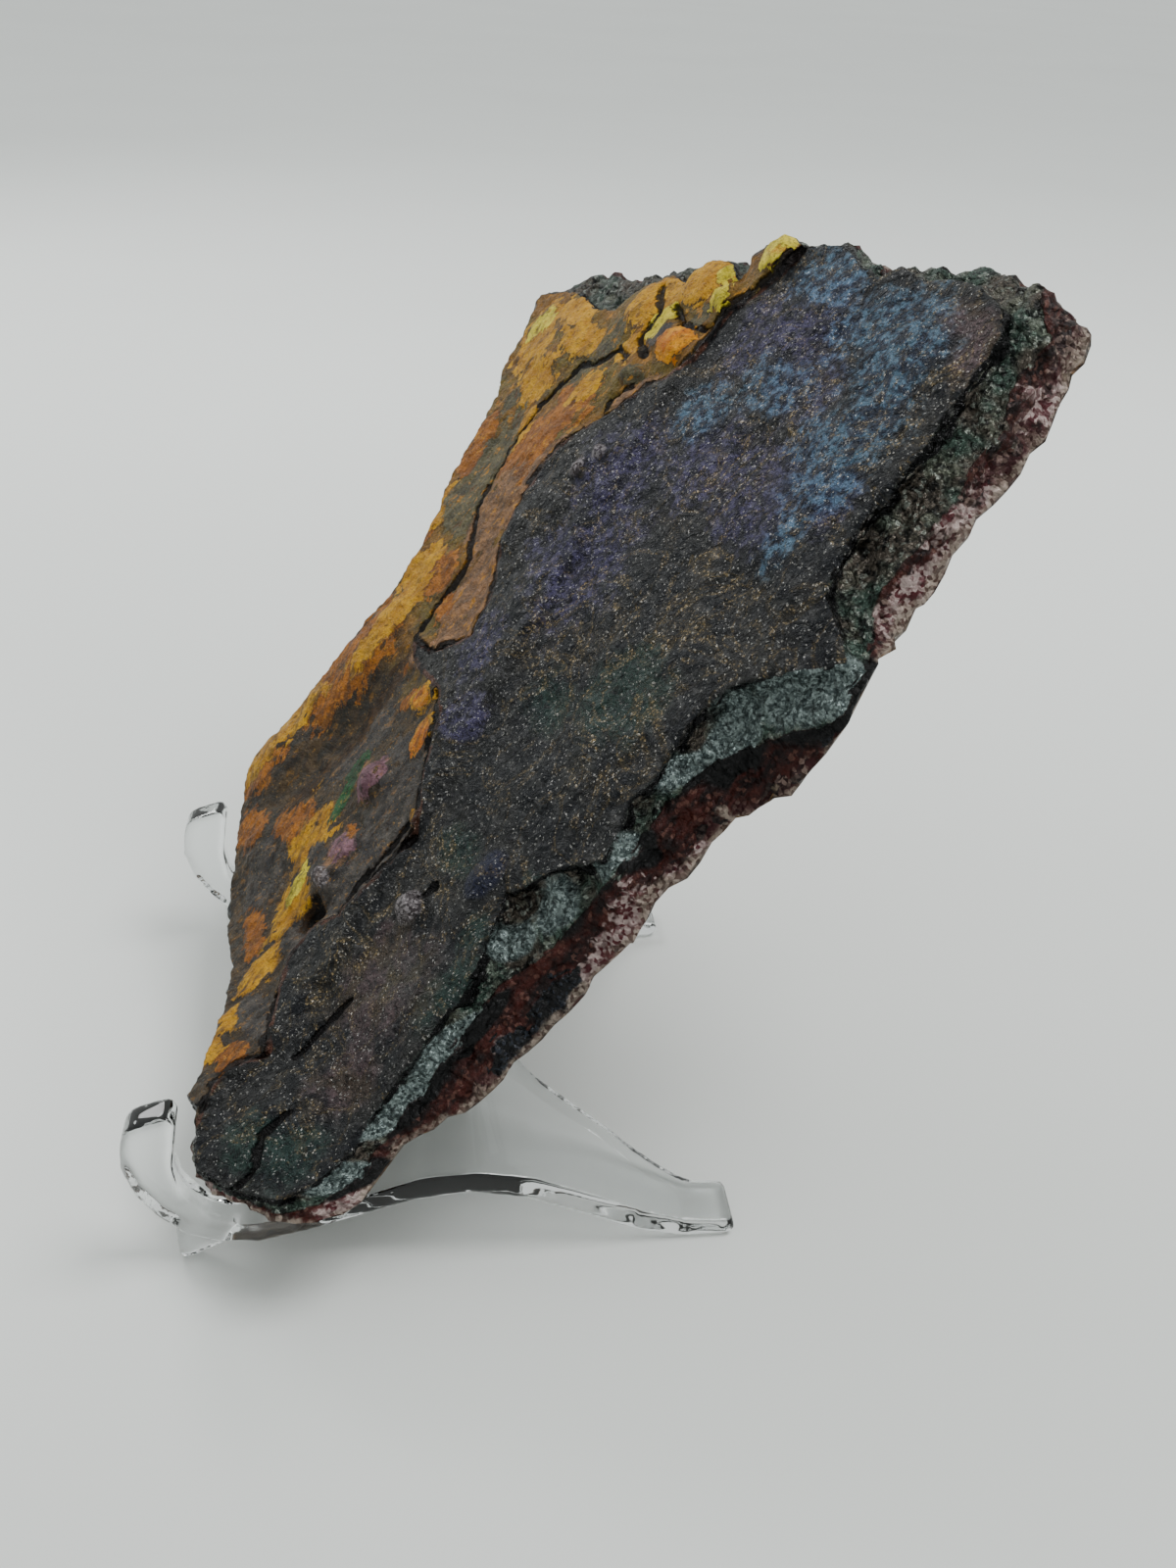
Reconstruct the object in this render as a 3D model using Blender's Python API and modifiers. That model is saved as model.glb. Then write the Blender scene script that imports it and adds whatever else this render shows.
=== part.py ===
"""A slab of turgite resting on a clear moulded easel.

The slab is one natural piece: a dark crystalline crust with a thin golden
crust over its far side, a stepped broken edge and a rough back. The easel is
one clear moulding: two hooked arms, a saddle between them and a back rest.
Lengths are in metres. +Z is up, the front of the easel looks along -Y.
"""

import random
from math import cos, pi, radians, sin

import bmesh
import bpy
import numpy as np
from mathutils import Matrix, Vector, noise
from mathutils.geometry import delaunay_2d_cdt

MM = 0.001

# Where everything stands: the origin is under the middle of the whole object
CENTRE = Vector((0.0587, -0.0573, 0.0))

# The easel, in millimetres
EASEL_WIDTH = 76.0
REST_WIDTH = 18.0
REST_THICK = 2.8
REST_LEAN = 60.0
REST_FOOT = (41.0, 10.8)
REST_LENGTH = 34.0
SPUR_THICK = 2.6
EASEL_ROUNDING = 0.35

# The easel's side: (depth, height) from the lip, under the trough and the
# arch to the rear foot, and back over the top
EASEL_UNDERSIDE = [
    (2.4, 23.0), (0.4, 22.3), (-0.5, 21.2), (-1.0, 19.0), (-1.2, 16.0), (0.2, 11.5), (2.6, 7.9),
    (5.9, 5.0), (10.5, 3.2), (15.0, 2.9), (20.5, 4.3), (27.2, 6.4), (34.0, 8.6), (41.0, 9.5),
    (48.2, 8.1), (56.6, 4.4), (62.8, 1.5), (68.5, 0.0),
]
EASEL_TOPSIDE = [
    (75.4, 0.0), (76.0, 1.2), (75.3, 2.4), (69.1, 2.9), (63.3, 4.8), (54.7, 9.0), (48.1, 11.7),
    (41.7, 12.8), (35.3, 12.4), (28.9, 10.2), (18.9, 6.6), (13.0, 6.0), (9.0, 7.4), (5.7, 11.8),
    (5.0, 16.0), (5.6, 20.5), (5.9, 22.6), (5.2, 23.7), (3.9, 23.5),
]
# Half of the gap between the arms, from an arm to the middle of the easel
FRONT_GAP = [(4.7, -6.0), (4.7, 10.0), (6.5, 18.0), (12.0, 25.5), (24.0, 29.5), (38.0, 31.0)]
REAR_GAP = [(8.0, 82.0), (8.2, 71.0), (10.5, 67.0), (15.5, 60.5), (19.0, 54.5), (21.4, 51.3),
            (24.5, 48.8), (30.0, 46.6), (38.0, 45.8)]
# A spur under each trough: its side, and how far its middle is from the arm's outer side
SPUR = [(4.4, 0.0), (6.0, 0.0), (10.6, 2.4), (11.4, 4.6), (4.4, 7.0)]
SPUR_INSET = 2.1

# The slab, in millimetres, drawn flat with its face up, then leaned and turned
SLAB_PLACE = (-43.9, 47.9, 57.2)
SLAB_LEAN = 47.5
SLAB_TURN = 18.5
FACE_SPACING = 2.5
BACK_SPACING = 4.4
EDGE_SPACING = 2.3
WALL_EDGE = 4.2
WALL_ROUGHNESS = 0.75
STEP_WIDTH = 0.6
STEP_SHARE = 0.55
GOLD_HEIGHT = 0.9
LEDGE_WIDTH = 0.45
CURL_HEIGHT = 9.8
CURL_UP = (-44.0, -78.0)
CURL_ACROSS = (-24.0, 8.0)

# Loops round the slab, clockwise: (across, up, height above the face)
RIM = [
    (-14.5, 73.5, 0), (-8, 75.5, 0), (-2.5, 74, 0), (3, 72.5, 0), (6, 75.5, 0), (11.5, 74.5, 0),
    (16, 76, 0), (21.5, 76, 0), (27, 74.5, 0), (30.5, 71.5, 0), (31, 67, 0), (31.5, 61.5, 0),
    (33, 56.5, 0), (33, 51.5, 0), (32.5, 46, 0), (34, 39.5, 0), (36.5, 35.5, 0), (40.5, 33.5, -1.2),
    (44.6, 31, -2.6), (42, 28.3, -1.4), (37.5, 23.5, 0), (34, 20, 0), (33, 16.5, 0), (33.5, 11, 0),
    (35, 6.5, 0), (34, 2.5, 0), (35.5, -1, 0), (37, -4.5, 0), (33.5, -7.5, 0), (31, -10.5, 0),
    (29.5, -14, 0), (27, -16.5, 0), (28.5, -18.5, 0), (30, -21.5, 0), (32.5, -25, 0),
    (33.5, -31, 0), (34.5, -37.5, 0), (35, -44.5, 0), (36, -48.7, 0), (38.3, -53, 0),
    (38.7, -57, 0), (37.7, -60.5, 0), (34.6, -62.8, 0), (31, -65, 0), (28, -66.4, 0),
    (24.4, -67.8, 0), (20.2, -66.2, 0), (16.2, -64.7, 0), (11.9, -65.4, 0), (9.4, -62.8, 0),
    (5, -60, 0), (-1.5, -57.3, 0), (-8, -55.2, 0), (-16.5, -54.3, 0),
    (-23.5, -51.5, 0), (-29.5, -47.5, 0), (-35.5, -44, 0),
    (-40.5, -40, 0), (-43.5, -35, 0), (-43, -29, 0), (-42.5, -21, 0), (-43.5, -11, 0),
    (-44, -3, 0), (-45, 5.5, 0), (-48, 12, 0), (-53, 18, 0), (-55, 25, 0), (-58.5, 32.5, 0),
    (-63, 37, 0), (-65.5, 43.5, 0), (-69, 50, 0), (-62.5, 52.5, 0), (-57, 53, 0), (-50, 52, 0),
    (-44.5, 53.5, 0), (-42.5, 58.5, 0), (-38.5, 62.5, 0), (-33, 61.5, 0), (-32, 66, 0),
    (-27.5, 67.5, 0), (-24, 65.5, 0), (-23, 69, 0), (-20.5, 73.5, 0),
]
SHELF = [
    (-14.5, 74.8, -2), (-8, 76.6, -2), (-2.3, 75.3, -2), (3, 74, -2), (6, 76.4, -2),
    (11, 77.5, -2), (13, 79, -3), (17, 80.3, -3), (23, 79.6, -3), (27, 79.8, -3),
    (30.5, 78, -3), (32.5, 75, -4), (33, 69, -4.5), (36.5, 63, -4.5), (36.5, 58, -4.5),
    (37.5, 53, -4.5), (38.5, 48, -4.5), (39, 40.5, -4.5), (40, 37.2, -4.2), (43, 35, -4),
    (45.7, 31.6, -3.7), (46, 29.5, -3.8), (47, 26.5, -4.5), (44.5, 22.5, -4.5),
    (40.5, 18.5, -4.5), (37, 14.5, -4.5), (36, 11.5, -4), (36.5, 8, -3.2), (35.8, 4, -3),
    (37, -0.5, -2.8), (38.3, -5, -2.8), (36.5, -8.5, -3.5), (36, -12, -4), (36, -17, -4),
    (34.5, -22, -3.4), (34, -25, -2.8), (34.8, -31, -2.8), (35.8, -37.5, -3), (36.5, -44.5, -3),
    (37.4, -49.2, -2.8), (39.9, -53.4, -2.6), (40.2, -57.6, -2), (38.7, -61.3, -1.1),
    (35.3, -63.4, -0.8), (31.6, -65.7, -0.8), (28.4, -67.1, -0.8), (24.6, -68.4, -0.7),
    (19.9, -66.9, -1), (16.4, -65.5, -1.2), (11.5, -66.2, -1.5), (8.4, -63.6, -1.8),
    (4.1, -60.9, -2), (-2.5, -58.3, -2), (-8.6, -56.5, -2.2), (-17, -55.8, -2.5),
    (-24.2, -53.2, -2.5),
    (-30.5, -49.2, -3), (-36.5, -45.6, -3), (-41.5, -41.3, -3), (-44.8, -35.5, -3),
    (-44.3, -29, -3), (-43.8, -21, -3), (-44.8, -11, -3), (-45.3, -3, -3), (-46.3, 5.2, -3),
    (-49.3, 11.5, -3), (-54.3, 17.3, -3), (-56.5, 24.8, -3), (-59.8, 31.8, -3),
    (-64.3, 36.5, -3), (-66.8, 43.3, -3), (-70.4, 50.5, -2), (-63, 57.8, -3), (-57.5, 59.3, -3),
    (-50.5, 60.3, -3), (-44.5, 63, -2), (-39.5, 64.3, -2), (-36.5, 66, -2), (-32, 68.2, -2),
    (-28, 68.8, -2.5), (-24.5, 70, -2.5), (-21.5, 74.6, -2),
]
BACK = [
    (-14.5, 76, -11), (-8, 77.8, -11), (-2, 76.6, -11), (3, 75.5, -11), (6, 77.8, -10.5),
    (11, 79.5, -10.5), (17, 81.8, -10.3), (22.5, 81.3, -10.3), (28, 81, -10.1),
    (32, 79, -10), (34, 74.5, -9.9), (37, 68.5, -9.7), (38.2, 61, -9.6), (38.8, 54, -8.4),
    (39.8, 49, -9), (41, 44, -9), (41.3, 38.8, -8.8), (44, 36, -6.6), (46.4, 32, -4.6),
    (46.9, 29.3, -4.8), (48, 26, -5.4), (46.5, 21.5, -8), (44.8, 15.5, -9.2), (42.5, 11.5, -9.4),
    (40, 9, -9.4), (40.5, 5, -9.4), (40, -2.5, -8.6), (40.8, -8.5, -9.3), (40, -17, -9.4),
    (39.5, -24.5, -9.4), (39.5, -33.5, -9), (39.3, -39.5, -8), (38.7, -43.5, -6),
    (38.3, -47.4, -5.4), (39.6, -50.5, -4.8), (42.3, -55, -4.8), (41.8, -58.7, -3.8),
    (39.6, -62, -1.9), (35.8, -64.1, -1.4), (32, -66.4, -1.4), (28.8, -67.8, -1.5),
    (24.9, -69, -1.4), (19.6, -67.7, -2), (15.5, -66.5, -2.8), (10.5, -67, -3.8),
    (5.5, -64.5, -5), (-3, -61, -7), (-12, -58.8, -8.5), (-21, -57.8, -9.8), (-29, -55.2, -10.6),
    (-36, -52.6, -11.2), (-43, -46.5, -12), (-46.5, -38, -13), (-46, -29, -13),
    (-45.5, -21, -13), (-46.5, -11, -13),
    (-47, -3, -12.8), (-48.2, 5, -12.5), (-51, 11, -12), (-56, 16.5, -12), (-58.5, 24.5, -12),
    (-61.5, 31, -12), (-66, 35.8, -11.5), (-68.6, 43, -11), (-72.5, 51, -9), (-64.5, 60, -10),
    (-57, 61.3, -11), (-50, 62.4, -11.5), (-44, 65.4, -11.5), (-37, 68.5, -11.5),
    (-31, 70.2, -11.5), (-26, 71.5, -11.5), (-22, 76, -11),
]

# The thin golden crust covers everything on the far side of this ledge
LEDGE = [
    (-13, 80), (-14.5, 74), (-15, 68), (-19, 60.5), (-18.5, 52.5), (-20, 48.5), (-23, 45),
    (-25, 40), (-28, 35.5), (-30, 28.5), (-28.5, 20.5), (-26.5, 15.5), (-19.5, 8), (-16.5, 2.5),
    (-22, -3), (-28.5, -3.8), (-25, -6.5), (-13.5, -6.5), (-8, -8.5), (-5.5, -12.5), (-3, -15),
    (1.5, -18.5), (3.5, -21.5), (4.5, -29.5), (3.5, -36.5), (0.5, -40.5), (1, -46.5),
    (5.8, -50.5), (13.8, -55), (13, -58.8), (13.8, -61.8), (19, -66.5), (20, -80), (-90, -80),
    (-90, 80),
]

# Lumps, pits and broad swells: (across, up, width, length, height)
LUMPS = [
    (-24, 53, 3.4, 3.6, 2.2), (-21.5, 62, 2.6, 2.8, 1.5), (-17.5, 71, 2.6, 3.8, 1.6),
    (-29, 62.5, 4.5, 5.0, 1.6), (-29, 46, 2.4, 2.6, 1.6), (-28.5, 53, 2.0, 2.4, 1.4),
    (-19, 34, 1.9, 1.9, 1.3), (-21, 31, 1.7, 2.2, 1.1), (-12, -22.5, 3.4, 3.4, 1.7),
    (-5.5, -36.5, 3.0, 2.4, 1.6), (14.5, -28, 2.4, 2.4, 1.5), (23, -17, 4.4, 4.4, 0.9),
    (40, 44, 2.6, 2.6, 1.5), (40.5, 40, 2.4, 2.4, 1.3), (-9, -11.5, 3.0, 4.5, 0.9),
    (-16, -9, 2.6, 3.0, 0.9), (-39, -14, 5.0, 13.0, 1.3), (-37.5, -33, 5.5, 6.5, 1.5),
    (-52, 45, 7.0, 6.0, 1.2), (-39, 55, 5.0, 5.5, 1.3), (20, 66, 8.0, 6.0, 0.8),
    (22, 50, 8.0, 9.0, 0.9), (24, 38, 7.0, 5.0, 0.8), (-4, 62, 8.0, 9.0, 0.7),
    (8, 20, 9.0, 8.0, 0.6), (-8, 12, 8.0, 9.0, 0.6), (24, 2, 8.0, 7.0, 0.7), (14, -8, 7.0, 6.0, 0.6),
    (26, -40, 6.0, 9.0, 0.6), (24, -57, 7.0, 6.0, 0.6), (-24, 22, 6.0, 12.0, 0.8),
    (-35, 30, 6.0, 12.0, 0.9), (-23, -42, 7.0, 6.0, 0.9),
]
PITS = [
    (-2.5, -41.5, 2.6, 3.0, 2.4), (-29, -21, 4.5, 15.0, 2.2), (24, 29, 6.0, 3.0, 0.6),
    (-12, 46, 3.0, 2.6, 0.7), (14, -36, 2.4, 5.0, 0.5), (-26, 70, 2.4, 2.6, 1.6),
    (-23, 66, 1.6, 2.6, 1.2), (-48, 24, 4.0, 9.0, 1.0), (37, 30, 4.0, 3.0, 0.6),
    (12, 47, 9.0, 4.0, 0.5), (10, 4, 6.0, 4.0, 0.5), (-26, 45, 1.6, 3.0, 1.0),
]
SEED = 11


def clear_scene():
    """Remove every object of the opened file."""
    for thing in list(bpy.data.objects):
        bpy.data.objects.remove(thing, do_unlink=True)


def new_collection(name):
    """Make a collection in the scene."""
    group = bpy.data.collections.new(name)
    bpy.context.scene.collection.children.link(group)
    return group


def principled(name, colour, roughness, metallic=0.0, transmission=0.0, ior=1.45):
    """Make a plain material from the part's own colour."""
    material = bpy.data.materials.new(name)
    material.use_nodes = True
    shader = material.node_tree.nodes["Principled BSDF"]
    shader.inputs["Base Color"].default_value = (*colour, 1.0)
    shader.inputs["Roughness"].default_value = roughness
    shader.inputs["Metallic"].default_value = metallic
    shader.inputs["Transmission Weight"].default_value = transmission
    shader.inputs["IOR"].default_value = ior
    return material


def flat_solid(name, outline, half_depth, group):
    """Turn a flat outline in millimetres into a closed plate, as a mesh object."""
    curve = bpy.data.curves.new(name, "CURVE")
    curve.dimensions = "2D"
    curve.fill_mode = "BOTH"
    curve.extrude = half_depth * MM
    spline = curve.splines.new("POLY")
    spline.points.add(len(outline) - 1)
    for point, (across, up) in zip(spline.points, outline):
        point.co = (across * MM, up * MM, 0.0, 1.0)
    spline.use_cyclic_u = True
    draft = bpy.data.objects.new(name + "_draft", curve)
    group.objects.link(draft)
    bpy.context.view_layer.update()
    graph = bpy.context.evaluated_depsgraph_get()
    mesh = bpy.data.meshes.new_from_object(draft.evaluated_get(graph))
    bpy.data.objects.remove(draft, do_unlink=True)
    shape = bmesh.new()
    shape.from_mesh(mesh)
    bmesh.ops.remove_doubles(shape, verts=shape.verts, dist=0.00001)
    bmesh.ops.recalc_face_normals(shape, faces=shape.faces)
    shape.to_mesh(mesh)
    shape.free()
    mesh.name = name
    solid = bpy.data.objects.new(name, mesh)
    group.objects.link(solid)
    return solid


def boolean(target, cutter, operation):
    """Cut a solid away from the target, or join it on."""
    modifier = target.modifiers.new(cutter.name, "BOOLEAN")
    modifier.operation = operation
    modifier.solver = "EXACT"
    modifier.object = cutter
    cutter.hide_render = True
    cutter.display_type = "WIRE"


def build_easel(parts, cutters):
    """One moulding: the side outline drawn out to the full width, gaps cut between the arms."""
    side = Matrix(((0, 0, 1), (1, 0, 0), (0, 1, 0))).to_4x4()
    middle = Matrix.Translation((-EASEL_WIDTH / 2 * MM, 0.0, 0.0))
    easel = flat_solid("easel", EASEL_UNDERSIDE + EASEL_TOPSIDE, EASEL_WIDTH / 2, parts)
    easel.data.transform(Matrix.Translation(CENTRE) @ middle @ side)

    for label, half in (("front_gap", FRONT_GAP), ("rear_gap", REAR_GAP)):
        outline = [(-x, y) for x, y in half] + [(x - EASEL_WIDTH, y) for x, y in reversed(half[:-1])]
        gap = flat_solid(label, outline, 60.0, cutters)
        gap.data.transform(Matrix.Translation(CENTRE))
        boolean(easel, gap, "DIFFERENCE")

    rest = flat_solid("back_rest", back_rest_outline(), REST_THICK / 2, cutters)
    lean = Matrix.Rotation(radians(REST_LEAN), 4, "X")
    foot = Matrix.Translation(CENTRE + Vector((-EASEL_WIDTH / 2, *REST_FOOT)) * MM)
    rest.data.transform(foot @ lean)
    boolean(easel, rest, "UNION")

    for label, across in (("near_spur", -SPUR_INSET), ("far_spur", SPUR_INSET - EASEL_WIDTH)):
        wedge = flat_solid(label, SPUR, SPUR_THICK / 2, cutters)
        wedge.data.transform(Matrix.Translation(CENTRE + Vector((across * MM, 0, 0))) @ side)
        boolean(easel, wedge, "UNION")

    rounding = easel.modifiers.new("moulded_edges", "BEVEL")
    rounding.width = EASEL_ROUNDING * MM
    rounding.segments = 1
    rounding.limit_method = "ANGLE"
    rounding.angle_limit = radians(60)
    rounding.use_clamp_overlap = True
    clear = principled("clear_plastic", (0.95, 0.96, 0.96), 0.05, transmission=1.0, ior=1.49)
    easel.data.materials.append(clear)
    return easel


def back_rest_outline():
    """A tongue with a rounded top, narrower at its tip."""
    half = REST_WIDTH / 2
    tip = 6.0
    top = [
        ((half - 1.0 - tip) * side + tip * cos(angle) , REST_LENGTH - tip + tip * sin(angle))
        for side, start in ((1, 0.0), (-1, pi / 2))
        for angle in (start + step * pi / 8 for step in range(5))
    ]
    return [(-half, 0.0), (half, 0.0)] + top


def resample(loop, spacing):
    """Put points at even steps along a closed loop, keeping its corners."""
    points = []
    for start, end in zip(loop, loop[1:] + loop[:1]):
        start = np.array(start, float)
        end = np.array(end, float)
        steps = max(1, round(float(np.linalg.norm((end - start)[:2])) / spacing))
        points += [start + (end - start) * step / steps for step in range(steps)]
    return np.array(points)


def roughen(loop, size, reach, offset):
    """Shift a loop's points by smooth noise, so that it looks broken and not cut."""
    rough = loop.copy()
    for point in rough:
        spot = Vector((point[0] / size, point[1] / size, offset))
        point[:2] += np.array(noise.noise_vector(spot)[:2]) * reach
    return rough


def grown(loop, distance):
    """Move a clockwise loop outwards by an even distance."""
    before = np.roll(loop, 1, axis=0)[:, :2]
    after = np.roll(loop, -1, axis=0)[:, :2]
    along = after - before
    along /= np.linalg.norm(along, axis=1)[:, None]
    outward = np.stack([-along[:, 1], along[:, 0]], axis=1)
    wider = loop.copy()
    wider[:, :2] += outward * distance
    return wider


def edge_distance(points, loop):
    """Distance to a loop, positive inside it, and the loop's height at the nearest place."""
    start = loop[:, :2]
    along = np.roll(start, -1, axis=0) - start
    height = loop[:, 2]
    rise = np.roll(height, -1) - height
    offset = points[:, None, :] - start[None]
    share = np.clip((offset * along).sum(2) / (along ** 2).sum(1), 0, 1)
    gap = np.linalg.norm(offset - along * share[:, :, None], axis=2)
    nearest = gap.argmin(axis=1)
    row = np.arange(len(points))
    y0 = start[:, 1]
    y1 = y0 + along[:, 1]
    spans = (y0 > points[:, 1:2]) != (y1 > points[:, 1:2])
    slope = np.where(along[:, 1] == 0, 1e-9, along[:, 1])
    crossing = start[:, 0] + (points[:, 1:2] - y0) * along[:, 0] / slope
    inside = (spans & (points[:, 0:1] < crossing)).sum(axis=1) % 2 == 1
    level = height[nearest] + rise[nearest] * share[row, nearest]
    return np.where(inside, 1, -1) * gap[row, nearest], level


def ramp(value, low, high):
    """Rise smoothly from 0 at low to 1 at high."""
    share = np.clip((value - low) / (high - low), 0, 1)
    return share * share * (3 - 2 * share)


def waves(points, size, seed, octaves=3):
    """Smooth noise over the slab, about -1 to 1."""
    return np.array([
        noise.fractal(Vector((x / size, y / size, seed)), 0.9, 2.0, octaves) for x, y in points
    ])


def curl(points):
    """How far the slab bends forward towards its lower near corner."""
    up = ramp(points[:, 1], *CURL_UP)
    return CURL_HEIGHT * up * ramp(points[:, 0], *CURL_ACROSS)


def swells(points):
    """Lumps added and pits taken out, each a smooth round dome."""
    height = np.zeros(len(points))
    for sign, group in ((1, LUMPS), (-1, PITS)):
        for across, up, width, length, rise in group:
            spread = ((points[:, 0] - across) / width) ** 2 + ((points[:, 1] - up) / length) ** 2
            height += sign * rise * np.clip(1 - spread * 0.6, 0, 1) ** 1.5
    return height


def face_height(points, loops):
    """The height of the slab's front: the face, the step, the shelf and the broken edge."""
    rim, shelf, back, ledge = loops
    in_rim, rim_level = edge_distance(points, rim)
    in_shelf, shelf_level = edge_distance(points, shelf)
    in_back, back_level = edge_distance(points, back)
    in_gold, _ = edge_distance(points, ledge)
    out = np.maximum(-in_rim, 0)

    rolling = 0.55 * waves(points, 24.0, 1.7) + 0.22 * waves(points, 6.5, 5.1)
    sunk = rim_level * ramp(in_rim, 9.0, 0.0)
    face = rolling + swells(points) + sunk + GOLD_HEIGHT * ramp(in_gold, -LEDGE_WIDTH, 0)

    foot = rim_level + STEP_SHARE * (shelf_level - rim_level)
    step = np.clip(out / STEP_WIDTH, 0, 1)
    beyond = np.maximum(out - STEP_WIDTH, 0)
    across = beyond / (beyond + np.maximum(in_shelf, 0) + 0.001)
    terrace = rim_level + (foot - rim_level) * step + (shelf_level - foot) * across ** 1.4
    down = np.maximum(-in_shelf, 0)
    slope = down / (down + np.maximum(in_back, 0) + 0.001)
    broken = shelf_level + (back_level - shelf_level) * slope
    ridges = 0.45 - np.abs(waves(points, 4.2, 9.3, 2))
    grain = (0.5 * waves(points, 3.0, 3.3) + 0.9 * ridges) * np.clip(in_back / 1.5, 0, 1)
    edge = np.where(in_shelf > 0, terrace, broken) + grain * ramp(out, 0.8, 2.6)
    edge += swells(points) * np.clip(in_back / 4.0, 0, 1) * ramp(in_back, 0, 2.0)
    return np.where(in_rim > 0, face, edge)


def back_height(points, back):
    """The rough back, which meets the broken edge along the slab's outline."""
    in_back, edge = edge_distance(points, back)
    thin = 5.5 * ramp(-points[:, 1], 40, 68) * ramp(points[:, 0], -12, 22)
    plane = -12.0 + 0.035 * points[:, 0] + thin
    rough = 1.1 * waves(points, 13.0, 21.4) + 0.5 * waves(points, 5.0, 31.9)
    blend = ramp(in_back, 0, 7.0)
    return edge * (1 - blend) + (plane + rough) * blend


def filled(loops, lines, spacing, clearance, rng):
    """Triangulate the slab's plan: loops and lines stay as edges, a shaken grid fills the rest."""
    outline = loops[-1]
    low = outline[:, :2].min(axis=0)
    high = outline[:, :2].max(axis=0)
    row_step = spacing * 0.866
    grid = []
    for row in range(int((high[1] - low[1]) / row_step) + 1):
        for column in range(int((high[0] - low[0]) / spacing) + 2):
            x = low[0] + (column - 0.5 * (row % 2)) * spacing + rng.uniform(-0.22, 0.22) * spacing
            y = low[1] + row * row_step + rng.uniform(-0.22, 0.22) * spacing
            grid.append((x, y))
    grid = np.array(grid)
    keep = edge_distance(grid, outline)[0] > clearance
    for loop in loops[:-1]:
        keep &= np.abs(edge_distance(grid, loop)[0]) > clearance
    for line in lines:
        gap = np.linalg.norm(grid[:, None, :] - line[None, :, :2], axis=2).min(axis=1)
        keep &= gap > 1.3 * clearance
    points = [Vector(point) for point in grid[keep]]
    edges = []
    for loop in loops:
        first = len(points)
        count = len(loop)
        points += [Vector(point[:2]) for point in loop]
        edges += [(first + i, first + (i + 1) % count) for i in range(count)]
    for line in lines:
        first = len(points)
        points += [Vector(point[:2]) for point in line]
        edges += [(first + i, first + i + 1) for i in range(len(line) - 1)]
    flat, _, faces, *_ = delaunay_2d_cdt(points, edges, [], 0, 0.02)
    flat = np.array([point[:] for point in flat])
    middles = flat[np.array([face[:3] for face in faces])].mean(axis=1)
    inside = edge_distance(middles, outline)[0] > 0
    return flat, [face for face, kept in zip(faces, inside) if kept]


def build_slab(parts):
    """The slab: a front and a back over the same outline, joined along it."""
    rng = random.Random(SEED)
    rim = roughen(resample(RIM, EDGE_SPACING), 4.0, 0.35, 2.2)
    shelf = roughen(resample(SHELF, EDGE_SPACING), 4.0, 0.4, 6.6)
    back = roughen(resample(BACK, EDGE_SPACING), 4.5, 0.3, 8.8)
    ledge = resample([(*point, 0.0) for point in LEDGE], EDGE_SPACING)
    ledge_top = roughen(ledge, 4.0, 0.35, 4.4)
    ledge_top = ledge_top[edge_distance(ledge_top[:, :2], back)[0] > -8.0]
    heights = (rim, shelf, back, ledge_top)

    shape = bmesh.new()
    front_loops = [rim, grown(rim, STEP_WIDTH), shelf, back]
    flat, faces = filled(front_loops, ledge_lines(ledge_top, rim), FACE_SPACING, 0.95, rng)
    height = face_height(flat, heights)
    add_sheet(shape, flat, height, faces)
    flat, faces = filled([back], [], BACK_SPACING, 1.6, rng)
    height = back_height(flat, back)
    add_sheet(shape, flat, height, faces)
    bmesh.ops.remove_doubles(shape, verts=shape.verts, dist=0.02 * MM)
    bmesh.ops.recalc_face_normals(shape, faces=shape.faces)
    break_walls(shape)

    mesh = bpy.data.meshes.new("turgite_slab")
    shape.to_mesh(mesh)
    shape.free()
    slab = bpy.data.objects.new("turgite_slab", mesh)
    parts.objects.link(slab)
    slab.location = CENTRE + Vector(SLAB_PLACE) * MM
    slab.rotation_euler = (radians(SLAB_LEAN), 0.0, radians(SLAB_TURN))
    mesh.materials.append(principled("turgite", (0.09, 0.085, 0.095), 0.42, metallic=0.25))
    return slab


def break_walls(shape):
    """Split the long steep edges of the slab's sides and shake the new points in or out."""
    steep = [
        edge for edge in shape.edges
        if edge.calc_length() > WALL_EDGE * MM
        and abs(edge.verts[0].co.z - edge.verts[1].co.z) > 0.75 * edge.calc_length()
    ]
    split = bmesh.ops.subdivide_edges(shape, edges=steep, cuts=1)
    bmesh.ops.triangulate(shape, faces=shape.faces)
    shape.normal_update()
    fresh = [item for item in split["geom_inner"] if isinstance(item, bmesh.types.BMVert)]
    shifts = [
        vert.normal * noise.noise(vert.co / (3.5 * MM)) * 2.0 * WALL_ROUGHNESS * MM for vert in fresh
    ]
    for vert, shift in zip(fresh, shifts):
        vert.co += shift


def ledge_lines(ledge, rim):
    """The top and the foot of the golden crust's ledge, as open lines that end short of the rim."""
    lines = []
    for line in (ledge, grown(ledge, LEDGE_WIDTH)):
        on_face = edge_distance(line[:, :2], rim)[0] > 1.2
        runs = np.flatnonzero(np.diff(np.concatenate(([0], on_face, [0]))))
        lines += [line[start:stop] for start, stop in zip(runs[::2], runs[1::2]) if stop - start > 3]
    return lines


def add_sheet(shape, flat, height, faces):
    """Bend a triangulated sheet, given in millimetres, and add it to the mesh."""
    height = height + curl(flat)
    verts = [shape.verts.new((x * MM, y * MM, z * MM)) for (x, y), z in zip(flat, height)]
    for face in faces:
        shape.faces.new([verts[index] for index in face])


def main():
    noise.seed_set(SEED)
    clear_scene()
    parts = new_collection("turgite_on_easel")
    cutters = new_collection("cutters")
    build_easel(parts, cutters)
    build_slab(parts)


main()
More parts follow.
